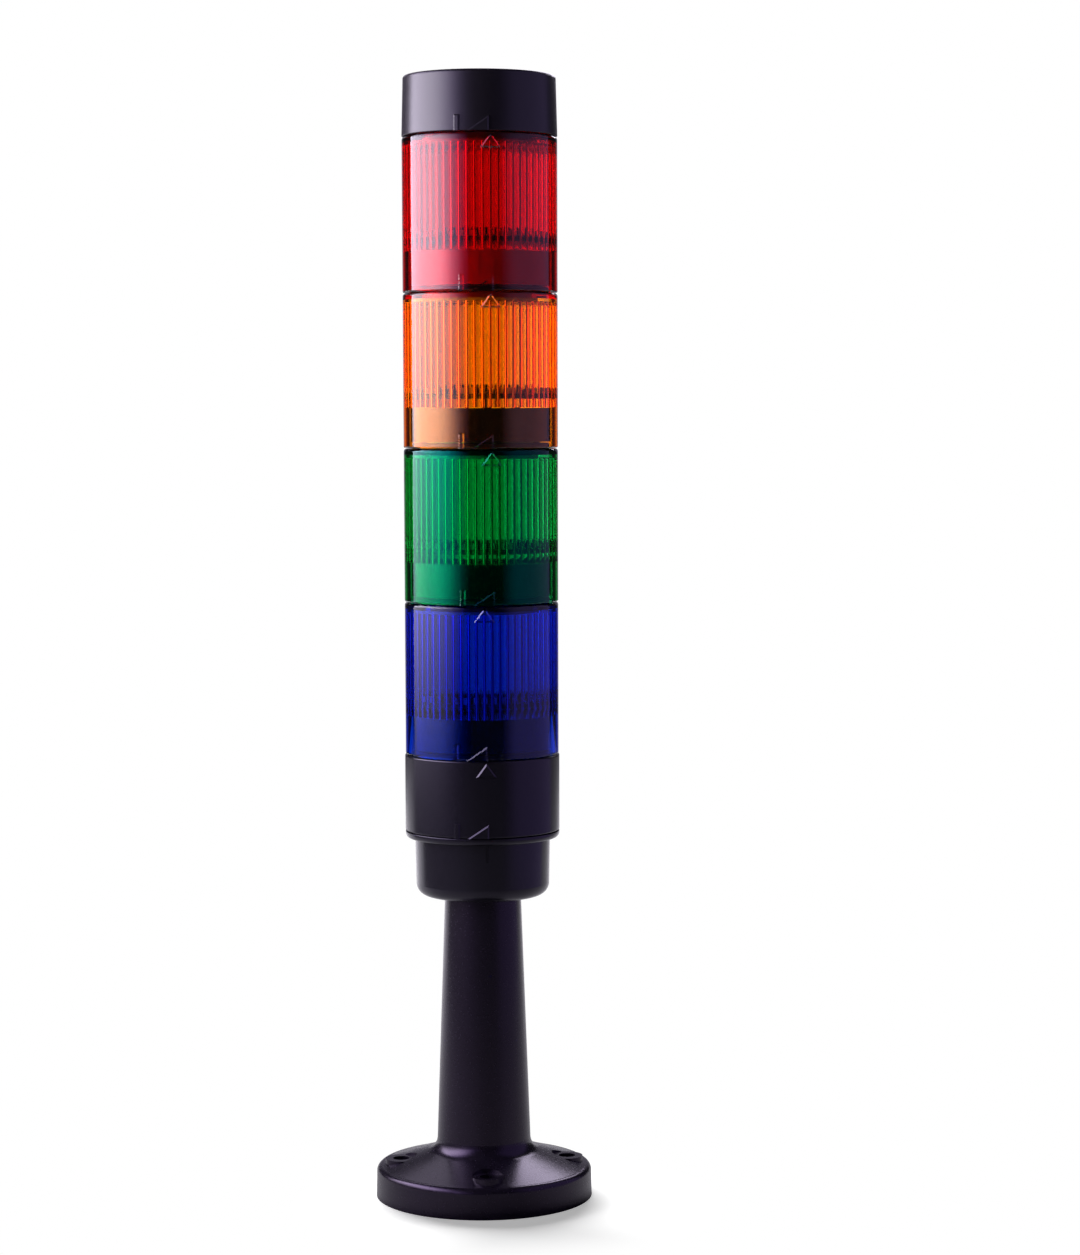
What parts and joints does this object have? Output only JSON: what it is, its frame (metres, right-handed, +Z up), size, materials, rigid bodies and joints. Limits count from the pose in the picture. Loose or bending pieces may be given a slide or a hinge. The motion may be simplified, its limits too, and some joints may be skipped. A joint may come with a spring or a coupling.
{
  "type": "stack light",
  "caption": "Free-standing signal tower: coloured ribbed lens elements, cap and terminal element joined by bayonets on a collar, column and round screw-down foot.",
  "frame": {"origin": "centre of the foot's underside", "axes": "+Z up the tower, -Y is the front with the bayonet marks"},
  "size_m": [0.0714, 0.0714, 0.3655],
  "materials": {
    "grained_black": "spark-eroded grain",
    "satin_black": "satin",
    "gloss_black": "gloss",
    "gloss_red": "gloss",
    "natural_white": "satin",
    "block_grey": "satin",
    "board_green": "solder mask",
    "chip_black": "moulded",
    "led_white": "gloss",
    "contact_brass": "bright",
    "zinc_steel": "zinc plated",
    "spring_steel": "rolled",
    "black_rubber": "moulded",
    "red_lens": "clear, gloss",
    "amber_lens": "clear, gloss",
    "green_lens": "clear, gloss",
    "blue_lens": "clear, gloss"
  },
  "bodies": {
    "stand": {"column_foot": "grained_black", "foot_gasket": "black_rubber", "pipe_collar": "satin_black", "collar_screws": "zinc_steel", "collar_seal": "black_rubber"},
    "terminal_element": {"terminal_housing": "satin_black", "terminal_block": "block_grey", "block_screws": "zinc_steel", "terminal_clamps": "spring_steel", "terminal_rods": "contact_brass", "terminal_seal": "black_rubber"},
    "blue_element": {"blue_lens": "blue_lens", "blue_base": "gloss_black", "blue_contact_head": "natural_white", "blue_rods": "contact_brass", "blue_led_board": "board_green", "blue_leds": "led_white", "blue_board_parts": "chip_black", "blue_seal": "black_rubber"},
    "green_element": {"green_lens": "green_lens", "green_base": "gloss_black", "green_contact_head": "natural_white", "green_rods": "contact_brass", "green_led_board": "board_green", "green_leds": "led_white", "green_board_parts": "chip_black", "green_seal": "black_rubber"},
    "amber_element": {"amber_lens": "amber_lens", "amber_base": "gloss_black", "amber_contact_head": "natural_white", "amber_rods": "contact_brass", "amber_led_board": "board_green", "amber_leds": "led_white", "amber_board_parts": "chip_black", "amber_seal": "black_rubber"},
    "red_element": {"red_lens": "red_lens", "red_base": "gloss_red", "red_contact_head": "natural_white", "red_rods": "contact_brass", "red_led_board": "board_green", "red_leds": "led_white", "red_board_parts": "chip_black", "red_seal": "black_rubber"},
    "cap": {"cap": "satin_black"}
  },
  "joints": [
    {"name": "terminal_turn", "type": "hinge", "parent": "stand", "child": "terminal_element", "pos_m": [0, 0, 0.122], "axis": [0, 0, 1], "range_deg": [-4.5, 20.7]},
    {"name": "blue_turn", "type": "hinge", "parent": "terminal_element", "child": "blue_element", "pos_m": [0, 0, 0.1471], "axis": [0, 0, 1], "range_deg": [-2.5, 22.7]},
    {"name": "green_turn", "type": "hinge", "parent": "blue_element", "child": "green_element", "pos_m": [0, 0, 0.19685], "axis": [0, 0, 1], "range_deg": [-9.5, 15.7]},
    {"name": "amber_turn", "type": "hinge", "parent": "green_element", "child": "amber_element", "pos_m": [0, 0, 0.2466], "axis": [0, 0, 1], "range_deg": [-3, 22.2]},
    {"name": "red_turn", "type": "hinge", "parent": "amber_element", "child": "red_element", "pos_m": [0, 0, 0.29635], "axis": [0, 0, 1], "range_deg": [-4, 21.2]},
    {"name": "cap_turn", "type": "hinge", "parent": "red_element", "child": "cap", "pos_m": [0, 0, 0.3461], "axis": [0, 0, 1], "range_deg": [-0.5, 24.7]}
  ]
}
